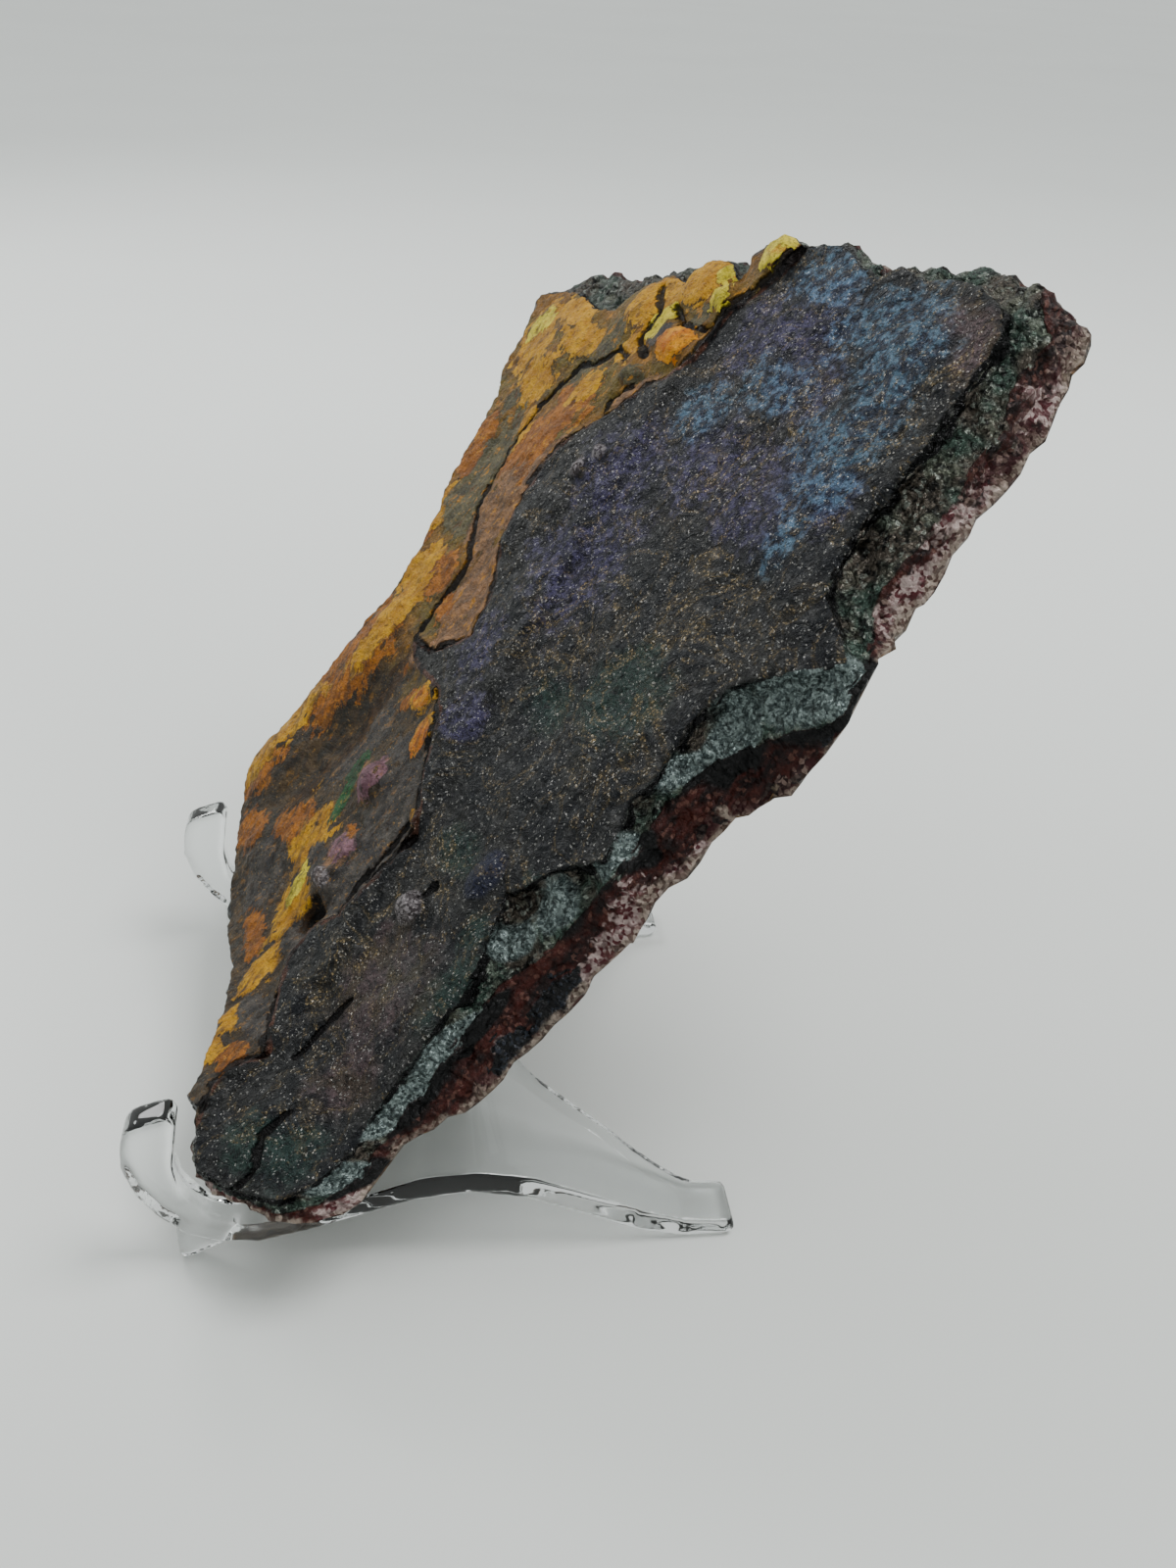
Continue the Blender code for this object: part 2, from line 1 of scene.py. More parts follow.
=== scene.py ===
"""The looks of a turgite slab on a clear easel.

Lengths are in millimetres wherever a shape or a pattern is drawn, and in metres
in Blender. The slab's markings are drawn in its own flat frame: +x towards the
broken edge, +y up the slope and +z out of the face, as in the CAD part.
"""

from math import cos, radians, sin
from types import SimpleNamespace

import bmesh
import bpy
import numpy as np
from mathutils import Matrix, Vector, noise


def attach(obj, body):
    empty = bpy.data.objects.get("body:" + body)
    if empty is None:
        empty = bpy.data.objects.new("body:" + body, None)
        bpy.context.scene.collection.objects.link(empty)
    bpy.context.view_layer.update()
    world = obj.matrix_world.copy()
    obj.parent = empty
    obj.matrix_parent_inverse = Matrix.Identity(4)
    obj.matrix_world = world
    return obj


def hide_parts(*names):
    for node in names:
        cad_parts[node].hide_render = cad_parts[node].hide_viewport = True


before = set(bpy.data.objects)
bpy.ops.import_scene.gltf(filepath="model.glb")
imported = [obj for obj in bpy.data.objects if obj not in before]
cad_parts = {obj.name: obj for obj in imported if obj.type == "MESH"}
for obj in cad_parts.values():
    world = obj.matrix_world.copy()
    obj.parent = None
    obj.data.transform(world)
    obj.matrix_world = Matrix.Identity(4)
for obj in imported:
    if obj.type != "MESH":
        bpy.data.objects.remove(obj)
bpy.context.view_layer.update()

MM = 0.001

# The frame's origin, and the slab's place in it, as the CAD part has them
CENTRE = Vector((58.7, -57.3, 0.0))
SLAB_PLACE = Vector((-43.9, 47.9, 57.2)) + CENTRE
SLAB_LEAN = 47.5
SLAB_TURN = 18.5
CURL_HEIGHT = 9.8
CURL_UP = (-44.0, -78.0)
CURL_ACROSS = (-24.0, 8.0)

# The slab's finer mesh: how close doubles are, how far the faces that are cut finer may turn
# away from the front, how many cuts an edge gets, and how many points are measured at once
MERGE_DISTANCE = 0.005
LEAST_FACING = -0.35
CUTS = 4
BLOCK = 4000

# Heights of the small relief on each zone, and of the single lumps, cracks and pits
FACE_RIPPLES = 0.4
FACE_GRAIN = 0.05
FACE_SWELL = 0.35
CRUST_GRAIN = 0.22
FLAKE_RISE = 0.22
EDGE_GRAIN = 0.35
EDGE_CHUNKS = 1.1
EDGE_LUMPS = 0.6
BACK_GRAIN = 0.4
BACK_CHUNKS = 0.8
BACK_LUMPS = 0.7
KNOB_RISE = 0.8
PINK_RISE = 0.7
INK_RISE = 0.5
CRACK_DEPTH = 0.6
PIT_DEPTH = 1.0

# Depths of the finest relief, which is in the materials
RIPPLE_BUMP = 0.7
CRYSTAL_BUMP = 0.16
SCUFF_BUMP = 0.15

# The easel's skin: how fine it is, and how often it is softened
EASEL_SKIN = 0.5
EASEL_SOFTENING = 8
PLASTIC_IOR = 1.49

# The floor's half width and where its painted light turns it paler, in metres, and its depth under
# the feet
FLOOR_SIZE = 40.0
FLOOR_PAINTED_LIGHT = (0.12, -0.4)
FLOOR_DROP = 0.2
SKY_STRENGTH = 1.06

# Soft lights: name, place, what they aim at and width, in metres, and power in watts
LIGHTS = [
    ("key", (0.05, 0.35, 0.8), (0, 0, 0.05), 0.4, 5.5),
    ("glow", (-0.55, -0.35, 0.45), (0, 0, 0.06), 0.25, 1.6),
]

# The photograph's camera: place, heading from +Y, dip below the horizon and roll
CAMERA_PLACE = Vector((146.3, 33.2, 152.2)) + CENTRE
CAMERA_HEADING = 82.1
CAMERA_DIP = 29.5
CAMERA_ROLL = 2.84
CAMERA_LENS = 36.0
CAMERA_SENSOR = 36.0
CAMERA_NEAREST = 0.01

# Flakes of the crust, from the lowest to the topmost: the darker and the lighter tone of each
FLAKES = {
    "orange": ((116, 68, 20), (156, 96, 26)),
    "gold": ((156, 108, 10), (190, 142, 18)),
    "olive": ((66, 64, 48), (94, 88, 62)),
    "mauve": ((92, 70, 52), (136, 100, 68)),
    "slate": ((44, 43, 44), (80, 75, 70)),
    "umber": ((32, 22, 12), (58, 40, 20)),
    "lime": ((168, 154, 24), (214, 196, 60)),
    "amber": ((172, 94, 4), (212, 144, 12)),
    "green": ((24, 62, 34), (40, 92, 52)),
    "pink": ((84, 56, 66), (132, 98, 108)),
}
RAISED_FLAKES = ("gold", "orange", "mauve", "lime")

# Where a flake's edge runs on its patch, and how ragged it is
FLAKE_EDGE = 0.12
FLAKE_RAGGED = 0.9

# The face's outline, the shelf's, the back's and the golden crust's edge, listed on the slab
RIM = [
    (-14.5, 73.5), (-8, 75.5), (-2.5, 74), (3, 72.5), (6, 75.5), (11.5, 74.5), (16, 76),
    (21.5, 76), (27, 74.5), (30.5, 71.5), (31, 67), (31.5, 61.5), (33, 56.5), (33, 51.5),
    (32.5, 46), (34, 39.5), (36.5, 35.5), (40.5, 33.5), (44.6, 31), (42, 28.3), (37.5, 23.5),
    (34, 20), (33, 16.5), (33.5, 11), (35, 6.5), (34, 2.5), (35.5, -1), (37, -4.5), (33.5, -7.5),
    (31, -10.5), (29.5, -14), (27, -16.5), (28.5, -18.5), (30, -21.5), (32.5, -25), (33.5, -31),
    (34.5, -37.5), (35, -44.5), (36, -48.7), (38.3, -53), (38.7, -57), (37.7, -60.5),
    (34.6, -62.8), (31, -65), (28, -66.4), (24.4, -67.8), (20.2, -66.2), (16.2, -64.7),
    (11.9, -65.4), (9.4, -62.8), (5, -60), (-1.5, -57.3), (-8, -55.2), (-16.5, -54.3),
    (-23.5, -51.5), (-29.5, -47.5), (-35.5, -44), (-40.5, -40), (-43.5, -35), (-43, -29),
    (-42.5, -21), (-43.5, -11), (-44, -3), (-45, 5.5), (-48, 12), (-53, 18), (-55, 25),
    (-58.5, 32.5), (-63, 37), (-65.5, 43.5), (-69, 50), (-62.5, 52.5), (-57, 53), (-50, 52),
    (-44.5, 53.5), (-42.5, 58.5), (-38.5, 62.5), (-33, 61.5), (-32, 66), (-27.5, 67.5),
    (-24, 65.5), (-23, 69), (-20.5, 73.5),
]
SHELF = [
    (-14.5, 74.8), (-8, 76.6), (-2.3, 75.3), (3, 74), (6, 76.4), (11, 77.5), (17, 80.3),
    (27, 79.8), (32.5, 75), (33, 69), (36.5, 63), (36.5, 58), (38.5, 48), (39, 40.5),
    (40, 37.2), (43, 35), (45.7, 31.6), (46, 29.5), (47, 26.5), (44.5, 22.5), (40.5, 18.5),
    (37, 14.5), (36, 11.5), (36.5, 8), (35.8, 4), (37, -0.5), (38.3, -5), (36.5, -8.5),
    (36, -12), (36, -17), (34.5, -22), (34, -25), (34.8, -31), (35.8, -37.5), (36.5, -44.5),
    (37.4, -49.2), (39.9, -53.4), (40.2, -57.6), (38.7, -61.3), (35.3, -63.4), (31.6, -65.7),
    (24.6, -68.4), (16.4, -65.5), (11.5, -66.2), (4.1, -60.9), (-8.6, -56.5), (-17, -55.8),
    (-30.5, -49.2), (-41.5, -41.3), (-44.8, -35.5), (-43.8, -21), (-45.3, -3), (-46.3, 5.2),
    (-54.3, 17.3), (-59.8, 31.8), (-66.8, 43.3), (-70.4, 50.5), (-63, 57.8), (-50.5, 60.3),
    (-44.5, 63), (-32, 68.2), (-24.5, 70), (-21.5, 74.6),
]
BACK = [
    (-14.5, 76), (-8, 77.8), (-2, 76.6), (3, 75.5), (6, 77.8), (11, 79.5), (17, 81.8), (22.5, 81.3),
    (28, 81), (32, 79), (34, 74.5), (37, 68.5), (38.2, 61), (38.8, 54), (39.8, 49), (41, 44),
    (41.3, 38.8), (44, 36), (46.4, 32), (46.9, 29.3), (48, 26), (46.5, 21.5), (44.8, 15.5),
    (42.5, 11.5), (40, 9), (40.5, 5), (40, -2.5), (40.8, -8.5), (40, -17), (39.5, -24.5),
    (39.5, -33.5), (39.3, -39.5), (38.7, -43.5), (38.3, -47.4), (39.6, -50.5), (42.3, -55),
    (41.8, -58.7), (39.6, -62), (35.8, -64.1), (32, -66.4), (28.8, -67.8), (24.9, -69),
    (19.6, -67.7), (15.5, -66.5), (10.5, -67), (5.5, -64.5), (-3, -61), (-12, -58.8), (-21, -57.8),
    (-29, -55.2), (-36, -52.6), (-43, -46.5), (-46.5, -38), (-46, -29), (-45.5, -21), (-46.5, -11),
    (-47, -3), (-48.2, 5), (-51, 11), (-56, 16.5), (-58.5, 24.5), (-61.5, 31), (-66, 35.8),
    (-68.6, 43), (-72.5, 51), (-64.5, 60), (-57, 61.3), (-50, 62.4), (-44, 65.4), (-37, 68.5),
    (-31, 70.2), (-26, 71.5), (-22, 76),
]
LEDGE = [
    (-13, 80), (-14.5, 74), (-15, 68), (-19, 60.5), (-18.5, 52.5), (-20, 48.5), (-23, 45),
    (-25, 40), (-28, 35.5), (-30, 28.5), (-28.5, 20.5), (-26.5, 15.5), (-19.5, 8), (-16.5, 2.5),
    (-22, -3), (-28.5, -3.8), (-25, -6.5), (-13.5, -6.5), (-8, -8.5), (-5.5, -12.5), (-3, -15),
    (1.5, -18.5), (3.5, -21.5), (4.5, -29.5), (3.5, -36.5), (0.5, -40.5), (1, -46.5),
    (5.8, -50.5), (13.8, -55), (13, -58.8), (13.8, -61.8), (19, -66.5), (20, -80), (-90, -80),
    (-90, 80),
]

# Thin cracks and flake edges, each an open line, darkened by painted shade and shadow
CRACKS = [
    [(-13.8, 77), (-15.2, 68), (-19.3, 60.5), (-18.8, 52.5), (-20.3, 48.5), (-23.3, 45),
     (-25.3, 40), (-28.3, 35.5), (-30.3, 28.5), (-28.8, 20.5), (-26.8, 15.5), (-19.8, 8),
     (-16.8, 2.5), (-22, -3.3), (-28.5, -4)],
    [(-29.5, -3), (-30.5, 1), (-30.5, 6), (-32, 10), (-35.5, 13), (-39.5, 17), (-41.5, 22),
     (-43, 28), (-44.5, 35), (-43, 40), (-42, 43.5), (-38, 45.5), (-36, 48.5), (-32.5, 48)],
    [(-13.5, -6.8), (-8, -8.8), (-5.5, -12.8), (-3, -15.3), (1.5, -18.8)],
    [(1, -22), (1.5, -27), (1.5, -33), (3, -37)],
    [(4.5, -22), (4, -27), (3, -31)],
    [(17, -42), (16.5, -48), (17.5, -52)],
    [(15.5, -23.5), (15, -25.5)],
    [(26.2, -55.4), (27.2, -59.2), (31, -61.2), (32, -64)],
    [(5.8, -50.5), (9, -52.5), (13.8, -55.2), (12.8, -58.8), (13.5, -61.8), (17, -64.5)],
    [(-26, 45), (-28.5, 41.5), (-27, 38)],
    [(-31, 58), (-26, 56), (-21, 57), (-19, 60)],
    [(-38, 60), (-33.5, 56), (-33, 51), (-29, 49.5)],
]

# Patches of colour on the face: (across, up, half width, half length, turn in degrees)
PAINTS = {
    "violet": [
        (0, 63, 11, 8, -20), (-10, 60, 6, 9, 0), (17, 43, 6, 7.5, 10), (14, 38, 6, 5, 0),
        (-13, 34, 9, 10, 20), (21, 40, 5, 7, 0), (-6, 20, 11, 12, 30), (-12, 3, 6, 6, 0),
        (-3, -6, 5, 4, 0), (6, 57, 9, 7, 0), (27, 45, 4, 6, 0), (2, 42, 10, 8, 10),
        (17, 42, 8, 9, 0),
    ],
    "blue": [
        (-5, 70, 9, 6, 0), (12, 68, 10, 7, 10), (19, 63, 9, 8, -20), (22, 55, 7, 7, 0),
        (23, 48, 7, 8, 0), (17, 51, 5, 5, 0), (24, 39, 4, 7, 20), (7, 66, 7, 6, 20),
        (2, 54, 7, 5, 0), (-8, 47, 6, 5, 0),
    ],
    "bronze": [
        (28, 63, 3.5, 7, 0), (27, 55, 3, 6, 0), (8, 44, 8, 9, 0), (10, 57, 6, 3, 0),
        (12, 31, 11, 4, 0), (5, 12, 12, 14, 10), (24, 31, 8, 2, 10), (-6, 52, 7, 6, 0),
        (14, -22, 7, 8, 0), (10, -40, 6, 12, 0), (26, 8, 6, 10, 0), (16, 22, 10, 6, 0),
    ],
    "rose": [
        (29, 68, 3.5, 5, 0), (22, -38, 9, 11, 10), (27, -47, 6, 7, 0), (13, -33, 2.2, 2, 0),
        (24, 72, 5, 3, 0),
    ],
    "teal": [
        (15, -18, 6, 3.5, 0), (28, -23, 3, 3.5, 0), (32, -57, 6, 5, 20), (27, -60, 5, 5, 0),
        (20, 11, 10, 8, 0), (38, 40, 3, 5, 0), (31, -13, 3, 2, 0), (23, -34, 5, 4, 0),
        (8, 4, 7, 5, 0), (31, -30, 3, 7, 0),
    ],
    "gold": [
        (-59, 44, 6, 8, 20), (-53, 50, 7, 4, 0), (-36, 57, 6, 6, 0), (-29, 63, 4.5, 5.5, 0),
        (-36, 41, 3, 4, 0), (-50, 38, 5, 6, 0), (-15.5, -9, 3, 3, 0), (-9, -12.5, 3, 4.5, 20),
        (-15, -34.5, 4.5, 6.5, 0), (-8, -43, 4, 7, 30), (-2, -51, 3, 6, 20), (-48, 14, 4, 6, 20),
        (-41, 4, 5, 6, 0), (-38, -2, 4, 7, 0), (-22, -16.5, 3, 1.4, -20), (-25, -30, 2, 2.5, 0),
        (4, -57, 3, 4, 30), (-46, 47, 5, 4, 0), (-40, -30, 3.5, 12, 0), (-44, 30, 3, 6, 20),
        (-33, 50, 3, 4, 0), (-37, -8, 3, 8, 0), (0.5, -20.5, 2.5, 1.3, 0), (7, -61, 3, 2.5, 0),
    ],
    "lime": [
        (-17.8, 71, 3.2, 4.2, 10), (-22, 62, 3, 2.8, 0), (-31.5, 55, 2.5, 4, 0),
        (-25.5, 66, 1.6, 2.5, 0), (-61, 46, 3, 4, 0), (-10, -41, 1.6, 5, 30),
    ],
    "orange": [
        (-24, 53, 4.2, 3.4, 0), (-36, 36, 6, 9, 0), (-52, 24, 3.5, 9, 25), (-36, 5, 6, 5, 0),
        (-38, -14, 6.8, 15, 0), (-39, -36, 5, 7, 0), (-30, -43, 5, 4, 0), (-22, -36, 5, 4.5, 0),
        (-11, -50, 8, 2.5, -15), (3, -64, 4, 4, 0), (-19, -11, 2, 2.2, 0), (-8, -29.5, 3, 1.5, 0),
        (-33, 26, 5, 7, 0), (-27, 3, 4, 4, 0), (-47, 5, 3, 8, 0), (-26, -10, 2, 4, 0),
        (-40, 28, 4, 7, 0), (-45, -20, 3, 20, 0), (11, -59, 3, 3, 0),
    ],
    "mauve": [
        (-25, 8, 5.5, 9, 30), (-34, 18, 6, 9, 20), (-22, 1, 5, 4, 0), (-30, 28, 3, 8, 0),
        (-12, -22.5, 3.6, 3.4, 0), (-7, -33, 4, 4, 0), (-24, -6, 4, 1.6, 0), (-17, -24, 3, 3, 0),
        (-25, 44, 2, 5, -30),
    ],
    "olive": [
        (-46, 24, 5, 10, 20), (-41, 15, 6, 5, 20), (-39.5, 49, 2.4, 4, 0), (-41, 43, 2, 3, 0),
        (-28, 46, 3, 2, 0), (-53, 33, 2, 3, 0), (-24, 58, 1.8, 3, 0), (-47, 17, 3, 4, 0),
    ],
    "umber": [(-26.5, -17, 3.4, 12, 8), (-26, -31, 3, 6, 0), (-2.5, -41.5, 3, 3, 0)],
    "slate": [
        (-6, -20, 7, 8, 0), (0, -30, 6, 12, 0), (-19, -45, 7, 5, -20), (-12, -16, 4, 3, 0),
        (-21, -18, 4, 5, 0), (-1, -44, 5, 4, 0), (6, -54, 6, 3, 0), (-30, -49, 5, 2, -20),
        (-10, -36, 4, 3, 0), (-22, -24, 3, 6, 0), (-24, 72, 4, 4, 0), (-29, 53, 2.5, 3, 0),
    ],
    "ink": [(22.5, -17, 3.4, 4.4, -15)],
    "pink": [(-12, -22.5, 3.0, 4.2, 30), (-7, -32, 3.2, 2.4, 0)],
    "pit": [(-3.5, -41, 1.7, 3.2, 30)],
    "green": [(-15.5, -28, 1.5, 5.5, 25), (-18.5, -23, 1.5, 3, 0), (38, 43, 2, 2, 0)],
    "amber": [(-24, 53, 4.4, 3.6, 0), (-15.5, -9, 2.2, 2.2, 0), (-9, -12.5, 2, 3.4, 20)],
    "knob": [
        (-19, 34, 1.6, 1.5, 0), (-21, 30.5, 1.3, 2, 0), (-5.5, -36.5, 2.6, 1.8, 0),
        (14.5, -28, 3.2, 2.8, 0),
    ],
}

# Patches on the broken edge, in the same frame
EDGE_PAINTS = {
    "white": [
        (37, 71, 3, 6, 0), (39, 56, 1.5, 8, 0), (40.5, 43, 1.4, 7, 0), (41, 33, 2, 4, 0),
        (40.5, 1, 1.3, 4, 0), (40, -9, 1.8, 6, 0), (39.5, -14, 1.6, 4, 0), (38, -30, 1, 2, 0),
        (30, -67, 8, 1.6, 25), (41, -56, 1.2, 3, 0),
    ],
    "jet": [
        (38.5, -22, 1.8, 5, 0), (38.5, -30, 1.6, 4, 0), (45.5, 23.5, 1.0, 3, 40),
    ],
    "silver": [
        (45, 28.5, 4.5, 4, 30), (40.5, 24.5, 5.5, 4.5, 40), (36.5, 17, 3.4, 6, 0),
        (35, 9, 1.5, 4, 0), (36.5, -3, 1.6, 4, 0), (33, -13, 3, 4, 0), (31.5, -20, 2.5, 4, -20),
        (35, -34, 0.9, 8, 0), (36, -45, 1.1, 8, 0), (39, -54, 1.2, 4, 0),
    ],
}


def curl(points):
    """How far the slab bends forward towards its lower near corner."""
    return CURL_HEIGHT * ramp(points[:, 1], *CURL_UP) * ramp(points[:, 0], *CURL_ACROSS)


def ramp(value, low, high):
    """Rise smoothly from 0 at low to 1 at high."""
    share = np.clip((value - low) / (high - low), 0, 1)
    return share * share * (3 - 2 * share)


def line_distance(points, lines):
    """Distance from each point to the nearest of some open lines."""
    starts = np.array([start for line in lines for start in line[:-1]], float)
    ends = np.array([end for line in lines for end in line[1:]], float)
    along = ends - starts
    best = np.empty(len(points))
    for block in range(0, len(points), BLOCK):
        offset = points[block:block + BLOCK, None, :] - starts
        share = np.clip((offset * along).sum(2) / (along ** 2).sum(1), 0, 1)
        gap = np.linalg.norm(offset - along * share[:, :, None], axis=2)
        best[block:block + BLOCK] = gap.min(axis=1)
    return best


def loop_distance(points, loop):
    """Distance to a closed loop, positive inside it."""
    gap = line_distance(points, [loop + loop[:1]])
    inside = np.zeros(len(points), bool)
    for (x0, y0), (x1, y1) in zip(loop, loop[1:] + loop[:1]):
        if y0 != y1:
            crossing = x0 + (points[:, 1] - y0) * (x1 - x0) / (y1 - y0)
            inside ^= ((y0 > points[:, 1]) != (y1 > points[:, 1])) & (points[:, 0] < crossing)
    return np.where(inside, gap, -gap)


def patch_mask(points, patches):
    """How deep each point lies in the nearest patch: 1 at a patch's middle, 0 at its edge."""
    mask = np.full(len(points), -1.0)
    for across, up, width, length, turn in patches:
        offset = points - (across, up)
        c, s = cos(radians(turn)), sin(radians(turn))
        side = (offset[:, 0] * c + offset[:, 1] * s) / width
        rise = (offset[:, 1] * c - offset[:, 0] * s) / length
        mask = np.maximum(mask, 1 - np.hypot(side, rise))
    return mask


class Value:
    """A shader value that takes part in plain arithmetic."""

    def __init__(self, graph, socket):
        self.graph = graph
        self.socket = socket

    def combine(self, operation, *others):
        node = self.graph.tree.nodes.new("ShaderNodeMath")
        node.operation = operation
        for socket, value in zip(node.inputs, (self, *others)):
            self.graph.feed(socket, value)
        return Value(self.graph, node.outputs[0])

    def __add__(self, other):
        return self.combine("ADD", other)

    def __radd__(self, other):
        return self.combine("ADD", other)

    def __sub__(self, other):
        return self.combine("SUBTRACT", other)

    def __rsub__(self, other):
        return (self * -1) + other

    def __mul__(self, other):
        return self.combine("MULTIPLY", other)

    def __rmul__(self, other):
        return self.combine("MULTIPLY", other)

    def __abs__(self):
        return self.combine("ABSOLUTE")

    def lowest(self, other):
        return self.combine("MINIMUM", other)

    def highest(self, other):
        return self.combine("MAXIMUM", other)


class Graph:
    """One material's node tree, with short words for what a surface needs."""

    def __init__(self, name, **constants):
        self.material = bpy.data.materials.new(name)
        self.material.use_nodes = True
        self.tree = self.material.node_tree
        self.shader = self.tree.nodes["Principled BSDF"]
        for label, constant in constants.items():
            self.shader.inputs[label.replace("_", " ")].default_value = constant

    def feed(self, socket, value):
        """Link a value to a socket, or set the socket to a number or a colour."""
        if isinstance(value, Value):
            self.tree.links.new(value.socket, socket)
        else:
            socket.default_value = value

    def node(self, kind, settings, inputs):
        """Add any node: its settings first, then its sockets, by name or by number."""
        node = self.tree.nodes.new(kind)
        for label, setting in settings.items():
            setattr(node, label, setting)
        for label, value in inputs.items():
            self.feed(node.inputs[label], value)
        return node

    def attribute(self, name, output="Fac"):
        node = self.node("ShaderNodeAttribute", {"attribute_name": name}, {})
        return Value(self, node.outputs[output])

    def object_place(self):
        """Where a point is on its object, in metres."""
        return Value(self, self.node("ShaderNodeTexCoord", {}, {}).outputs["Object"])

    def along(self, place, axis):
        """One coordinate of a place: 0, 1 or 2 for x, y or z."""
        return Value(self, self.node("ShaderNodeSeparateXYZ", {}, {0: place}).outputs[axis])

    def ramp(self, value, low, high):
        """0 below low, 1 above high, smooth between; low may be the larger."""
        inputs = {"Value": value, "From Min": low, "From Max": high}
        node = self.node("ShaderNodeMapRange", {"interpolation_type": "SMOOTHSTEP"}, inputs)
        return Value(self, node.outputs["Result"])

    def noise(self, place, size, detail=3.0, roughness=0.55, distortion=0.0):
        """Cloudy noise from 0 to 1, its features about size across, in the place's own unit."""
        inputs = {
            "Vector": place, "Scale": 1.0 / size, "Detail": detail, "Roughness": roughness,
            "Distortion": distortion,
        }
        return Value(self, self.node("ShaderNodeTexNoise", {}, inputs).outputs["Fac"])

    def cells(self, place, size, feature="F1", output="Distance"):
        """Cells about size across: distance from their middles, or their colour."""
        inputs = {"Vector": place, "Scale": 1.0 / size}
        node = self.node("ShaderNodeTexVoronoi", {"feature": feature}, inputs)
        return Value(self, node.outputs[output])

    def speckle(self, place, size):
        """A number from 0 to 1 that differs from cell to cell."""
        colour_of_cell = self.cells(place, size, output="Color")
        return Value(self, self.node("ShaderNodeSeparateColor", {}, {0: colour_of_cell}).outputs[0])

    def vector(self, operation, inputs):
        node = self.node("ShaderNodeVectorMath", {"operation": operation}, inputs)
        return Value(self, node.outputs[0])

    def shifted(self, place, shift):
        """A place moved by a fixed amount, for noise that differs from its neighbour."""
        return self.vector("ADD", {0: place, 1: shift})

    def scaled(self, place, scale):
        """A place stretched along its axes."""
        return self.vector("MULTIPLY", {0: place, 1: scale})

    def turned(self, place, degrees):
        """A place turned in the plane of the face."""
        inputs = {"Vector": place, "Angle": radians(degrees)}
        node = self.node("ShaderNodeVectorRotate", {"rotation_type": "Z_AXIS"}, inputs)
        return Value(self, node.outputs[0])

    def warped(self, place, reach, size):
        """A place pushed about by noise, so that what is drawn there has no straight lines."""
        inputs = {"Vector": place, "Scale": 1.0 / size, "Detail": 2.0}
        push = Value(self, self.node("ShaderNodeTexNoise", {}, inputs).outputs["Color"])
        push = self.vector("SUBTRACT", {0: push, 1: (0.5, 0.5, 0.5)})
        return self.shifted(place, self.vector("SCALE", {0: push, "Scale": 2 * reach}))

    def mix(self, factor, first, second):
        """Blend two colours."""
        settings = {"data_type": "RGBA", "clamp_factor": True}
        node = self.node("ShaderNodeMix", settings, {0: factor, 6: first, 7: second})
        return Value(self, node.outputs[2])

    def lay(self, under, share, *tone):
        """Lay a tone, picked as 0 to 255, over a colour by a share from 0 to 1."""
        return self.mix(share, under, colour(*tone))

    def blend(self, value, low, high, first, second):
        """Go from one tone to another, picked as 0 to 255, as a value goes from low to high."""
        return self.mix(self.ramp(value, low, high), colour(*first), colour(*second))

    def bump(self, height, distance, strength=1.0, normal=None):
        """Relief from a height of 0 to 1, distance millimetres deep."""
        inputs = {"Height": height, "Distance": distance * MM, "Strength": strength}
        if normal is not None:
            inputs["Normal"] = normal
        return Value(self, self.node("ShaderNodeBump", {}, inputs).outputs["Normal"])

    def set(self, label, value):
        self.feed(self.shader.inputs[label], value)


def colour(red, green, blue):
    """A colour picked from the photograph as 0 to 255, as linear light."""
    parts = [part / 255 for part in (red, green, blue)]
    light = [part / 12.92 if part < 0.04 else ((part + 0.055) / 1.055) ** 2.4 for part in parts]
    return (*light, 1)


def textures(g):
    """The noises that the slab's zones share; wobble, coarse, chip and ripple are centred on 0."""
    flat = g.attribute("flat", "Vector")
    streaked = g.scaled(flat, (1.0, 0.5, 1.0))
    wobble = g.noise(streaked, 1.9, 4.0, 0.65) - 0.5
    return SimpleNamespace(
        flat=flat,
        streaked=streaked,
        wobble=wobble,
        coarse=g.noise(g.shifted(flat, (31, 7, 3)), 8.0, 3.0) - 0.5,
        chip=g.speckle(g.warped(streaked, 1.0, 2.0), 1.3) - 0.5,
        ripple=g.noise(g.shifted(flat, (21, 2, 9)), 1.5, 2.0, 0.6) - 0.5,
        fine=g.noise(g.shifted(flat, (5, 17, 40)), 0.55, 3.0, 0.7),
        crystal=g.speckle(flat, 0.34),
        glint=g.speckle(g.shifted(flat, (9, 3, 1)), 0.22),
        grains=g.speckle(g.shifted(flat, (1, 8, 2)), 0.5),
        domes=g.cells(g.warped(flat, 1.3, 4.0), 2.7, "SMOOTH_F1"),
        boulders=g.speckle(g.warped(flat, 0.7, 2.0), 1.9),
        pebbles=g.cells(g.warped(flat, 0.5, 1.5), 0.9),
        shade=g.ramp(wobble, -0.14, 0.14),
        up=g.along(flat, 1),
    )


